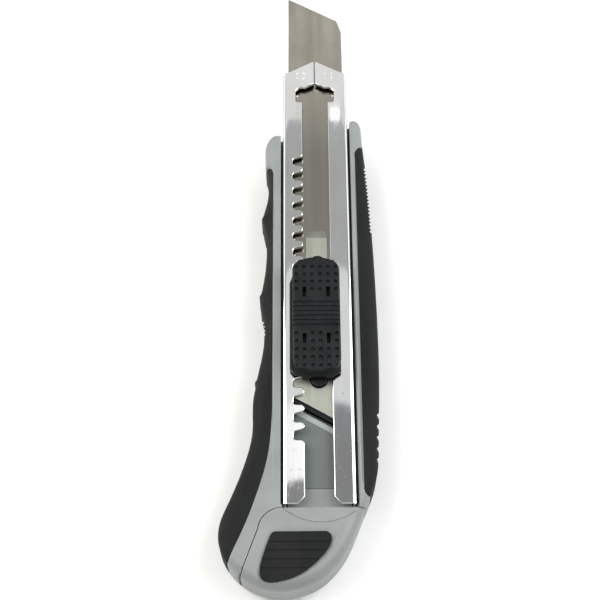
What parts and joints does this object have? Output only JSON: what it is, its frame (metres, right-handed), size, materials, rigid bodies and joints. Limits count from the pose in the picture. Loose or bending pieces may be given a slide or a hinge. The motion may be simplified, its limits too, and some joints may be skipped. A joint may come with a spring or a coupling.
{
  "type": "utility knife",
  "caption": "Moulded handle knife with a chromed channel, a snap-off blade on a notched thumb slider, rubber grips and a pull-off end cap over a spare blade store.",
  "frame": {"origin": "on the flat back face, on the channel's centre line, at mid-length of the closed body", "axes": "+Y towards the blade's tip, +Z out of the face with the thumb slider, +X towards the blade's spine side"},
  "size_m": [0.0476, 0.2048, 0.0228],
  "materials": {
    "grey_plastic": "satin moulded, light blue-grey",
    "black_rubber": "matt soft rubber",
    "black_plastic": "fine-grained matt",
    "white_plastic": "natural moulded",
    "chromed_steel": "bright plated, finely drawn along its length",
    "blade_steel": "ground, lightly oiled",
    "plate_steel": "satin plated",
    "spring_steel": "cold rolled"
  },
  "bodies": {
    "handle": {"body_shell": "grey_plastic", "finger_grip": "black_rubber", "palm_grip": "black_rubber", "back_grip": "black_rubber", "blade_channel": "chromed_steel", "rear_guide": "grey_plastic", "follower": "white_plastic", "store_spring": "spring_steel", "spare_blade_1": "blade_steel", "spare_blade_2": "blade_steel", "spare_blade_3": "blade_steel"},
    "carriage": {"carrier": "black_plastic", "blade_holder": "plate_steel", "blade_stud": "plate_steel", "lock_spring": "spring_steel", "pressure_spring": "spring_steel", "main_blade": "blade_steel"},
    "button": {"slider_button": "black_plastic"},
    "cap": {"end_cap": "grey_plastic", "thumb_pad": "black_rubber"}
  },
  "joints": [
    {"name": "blade_slide", "type": "slide", "parent": "handle", "child": "carriage", "axis": [0, 1, 0], "range_m": [-0.03279, 0.06012], "deforming": ["lock_spring"]},
    {"name": "button_press", "type": "slide", "parent": "carriage", "child": "button", "axis": [0, 0, -1], "range_m": [0, 0.0008], "stiffness_N_per_m": 600, "springref_m": -0.002, "deforming": ["lock_spring"]},
    {"name": "end_cap_slide", "type": "slide", "parent": "handle", "child": "cap", "axis": [0, -1, 0], "range_m": [0, 0.04]}
  ]
}
